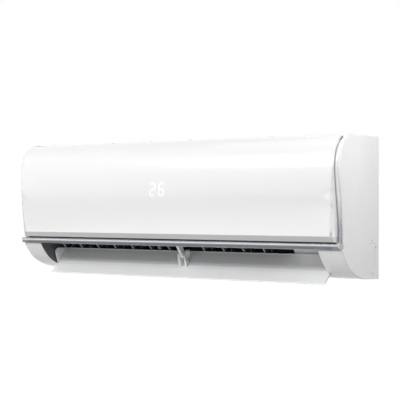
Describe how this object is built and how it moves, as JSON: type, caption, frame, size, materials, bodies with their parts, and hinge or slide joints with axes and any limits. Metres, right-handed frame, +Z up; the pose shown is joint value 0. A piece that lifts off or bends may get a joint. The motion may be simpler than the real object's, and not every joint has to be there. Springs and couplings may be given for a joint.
{
  "type": "split air conditioner indoor unit",
  "caption": "Wall-mounted air conditioner indoor unit with a hinged curved front panel, silver trim, swing flap, coupled air vanes, lift-out filters, cross-flow fan, coil and drain.",
  "frame": {"origin": "centre of the four wall-screw holes on the back face of the mounting plate, on the wall", "axes": "+X to the unit's right seen from the room, -Y out of the wall to the room, +Z up"},
  "size_m": [0.805, 0.2025, 0.2967],
  "materials": {
    "body_plastic": "fine satin moulding",
    "panel_gloss": "gloss moulding",
    "silver_trim": "silver metallic paint",
    "flap_grey": "silver-grey satin moulding",
    "vane_grey": "satin moulding",
    "grey_plastic": "satin moulding",
    "fan_plastic": "satin moulding",
    "flame_grey": "flame-retardant moulding",
    "filter_grey": "fine woven mesh in a moulded rim",
    "fin_aluminium": "stacked fins",
    "copper": "drawn copper tube",
    "brass": "machined",
    "zinc_steel": "zinc-plated sheet",
    "bright_steel": "ground",
    "motor_steel": "resin-moulded motor case",
    "black_rubber": "moulded",
    "board_green": "circuit board with parts",
    "smoked_lens": "translucent smoked moulding"
  },
  "bodies": {
    "cabinet": {"base_chassis": "body_plastic", "control_board": "board_green", "control_box": "flame_grey", "control_box_lid": "zinc_steel", "display_board": "board_green", "display_lens": "smoked_lens", "drain_spigot": "grey_plastic", "drip_tray": "grey_plastic", "duct_bulkheads": "body_plastic", "fan_bearing": "black_rubber", "fan_motor": "motor_steel", "fan_scroll": "body_plastic", "filter_guides": "body_plastic", "filter_ribs": "body_plastic", "fin_packs": "fin_aluminium", "flap_arm": "grey_plastic", "flap_motor": "zinc_steel", "front_frame": "body_plastic", "gas_pipe": "copper", "gas_union": "brass", "left_end_cover": "body_plastic", "left_knockout": "body_plastic", "liquid_pipe": "copper", "liquid_union": "brass", "lower_fascia": "grey_plastic", "motor_cover": "body_plastic", "motor_cradle": "body_plastic", "motor_rings": "black_rubber", "mounting_plate": "zinc_steel", "pipe_clamp": "grey_plastic", "return_bends": "copper", "right_end_cover": "body_plastic", "right_knockout": "body_plastic", "terminal_block": "flame_grey", "top_grille": "body_plastic", "trim_frame": "silver_trim", "tube_sheets": "zinc_steel", "underside_pan": "body_plastic"},
    "front_panel": {"front_panel": "panel_gloss"},
    "swing_flap": {"swing_flap": "flap_grey"},
    "fan": {"cross_flow_fan": "fan_plastic", "fan_shafts": "bright_steel"},
    "button": {"manual_button": "panel_gloss"},
    "vane_left_1": {"vane_left_1": "vane_grey"},
    "vane_left_2": {"vane_left_2": "vane_grey"},
    "vane_left_3": {"vane_left_3": "vane_grey"},
    "vane_left_4": {"vane_left_4": "vane_grey"},
    "vane_left_5": {"vane_left_5": "vane_grey"},
    "vane_left_6": {"vane_left_6": "vane_grey"},
    "vane_left_7": {"vane_left_7": "vane_grey"},
    "tie_bar_left": {"tie_bar_left": "vane_grey"},
    "vane_right_1": {"vane_right_1": "vane_grey"},
    "vane_right_2": {"vane_right_2": "vane_grey"},
    "vane_right_3": {"vane_right_3": "vane_grey"},
    "vane_right_4": {"vane_right_4": "vane_grey"},
    "tie_bar_right": {"tie_bar_right": "vane_grey"},
    "filter_left": {"air_filter_left": "filter_grey"},
    "filter_right": {"air_filter_right": "filter_grey"}
  },
  "joints": [
    {"name": "panel_hinge", "type": "hinge", "parent": "cabinet", "child": "front_panel", "pos_m": [0, -0.14, 0.136], "axis": [-1, 0, 0], "range_deg": [0, 60]},
    {"name": "flap_swing", "type": "hinge", "parent": "cabinet", "child": "swing_flap", "pos_m": [0, -0.124, -0.103], "axis": [1, 0, 0], "range_deg": [-92, 8]},
    {"name": "fan_spin", "type": "hinge", "parent": "cabinet", "child": "fan", "pos_m": [0, -0.092, -0.024], "axis": [1, 0, 0], "continuous": true},
    {"name": "vane_left_1_turn", "type": "hinge", "parent": "cabinet", "child": "vane_left_1", "pos_m": [-0.322, -0.09784, -0.07684], "axis": [0, -0.7071, 0.7071], "range_deg": [-35, 35]},
    {"name": "vane_left_2_turn", "type": "hinge", "parent": "cabinet", "child": "vane_left_2", "pos_m": [-0.2733, -0.09784, -0.07684], "axis": [0, -0.7071, 0.7071], "range_deg": [-35, 35]},
    {"name": "vane_left_3_turn", "type": "hinge", "parent": "cabinet", "child": "vane_left_3", "pos_m": [-0.2246, -0.09784, -0.07684], "axis": [0, -0.7071, 0.7071], "range_deg": [-35, 35]},
    {"name": "vane_left_4_turn", "type": "hinge", "parent": "cabinet", "child": "vane_left_4", "pos_m": [-0.1759, -0.09784, -0.07684], "axis": [0, -0.7071, 0.7071], "range_deg": [-35, 35]},
    {"name": "vane_left_5_turn", "type": "hinge", "parent": "cabinet", "child": "vane_left_5", "pos_m": [-0.1272, -0.09784, -0.07684], "axis": [0, -0.7071, 0.7071], "range_deg": [-35, 35]},
    {"name": "vane_left_6_turn", "type": "hinge", "parent": "cabinet", "child": "vane_left_6", "pos_m": [-0.0785, -0.09784, -0.07684], "axis": [0, -0.7071, 0.7071], "range_deg": [-35, 35]},
    {"name": "vane_left_7_turn", "type": "hinge", "parent": "cabinet", "child": "vane_left_7", "pos_m": [-0.0298, -0.09784, -0.07684], "axis": [0, -0.7071, 0.7071], "range_deg": [-35, 35]},
    {"name": "tie_bar_left_turn", "type": "hinge", "parent": "vane_left_1", "child": "tie_bar_left", "pos_m": [-0.322, -0.13814, -0.07189], "axis": [0, -0.7071, 0.7071], "range_deg": [-35, 35]},
    {"name": "vane_right_1_turn", "type": "hinge", "parent": "cabinet", "child": "vane_right_1", "pos_m": [0.059, -0.09784, -0.07684], "axis": [0, -0.7071, 0.7071], "range_deg": [-35, 35]},
    {"name": "vane_right_2_turn", "type": "hinge", "parent": "cabinet", "child": "vane_right_2", "pos_m": [0.1077, -0.09784, -0.07684], "axis": [0, -0.7071, 0.7071], "range_deg": [-35, 35]},
    {"name": "vane_right_3_turn", "type": "hinge", "parent": "cabinet", "child": "vane_right_3", "pos_m": [0.1564, -0.09784, -0.07684], "axis": [0, -0.7071, 0.7071], "range_deg": [-35, 35]},
    {"name": "vane_right_4_turn", "type": "hinge", "parent": "cabinet", "child": "vane_right_4", "pos_m": [0.2051, -0.09784, -0.07684], "axis": [0, -0.7071, 0.7071], "range_deg": [-35, 35]},
    {"name": "tie_bar_right_turn", "type": "hinge", "parent": "vane_right_1", "child": "tie_bar_right", "pos_m": [0.059, -0.13814, -0.07189], "axis": [0, -0.7071, 0.7071], "range_deg": [-35, 35]},
    {"name": "filter_left_lift", "type": "hinge", "parent": "cabinet", "child": "filter_left", "pos_m": [0, -0.0375, -0.01], "axis": [1, 0, 0], "range_deg": [-4, 0]},
    {"name": "filter_right_lift", "type": "hinge", "parent": "cabinet", "child": "filter_right", "pos_m": [0, -0.0375, -0.01], "axis": [1, 0, 0], "range_deg": [-4, 0]},
    {"name": "button_press", "type": "slide", "parent": "cabinet", "child": "button", "axis": [0, 1, 0], "range_m": [0, 0.0015], "stiffness_N_per_m": 800, "springref_m": -0.0005}
  ],
  "couplings": [
    {"joint": "vane_left_2_turn", "follows": "vane_left_1_turn", "ratio": 1},
    {"joint": "vane_left_3_turn", "follows": "vane_left_1_turn", "ratio": 1},
    {"joint": "vane_left_4_turn", "follows": "vane_left_1_turn", "ratio": 1},
    {"joint": "vane_left_5_turn", "follows": "vane_left_1_turn", "ratio": 1},
    {"joint": "vane_left_6_turn", "follows": "vane_left_1_turn", "ratio": 1},
    {"joint": "vane_left_7_turn", "follows": "vane_left_1_turn", "ratio": 1},
    {"joint": "tie_bar_left_turn", "follows": "vane_left_1_turn", "ratio": -1},
    {"joint": "vane_right_2_turn", "follows": "vane_right_1_turn", "ratio": 1},
    {"joint": "vane_right_3_turn", "follows": "vane_right_1_turn", "ratio": 1},
    {"joint": "vane_right_4_turn", "follows": "vane_right_1_turn", "ratio": 1},
    {"joint": "tie_bar_right_turn", "follows": "vane_right_1_turn", "ratio": -1}
  ]
}
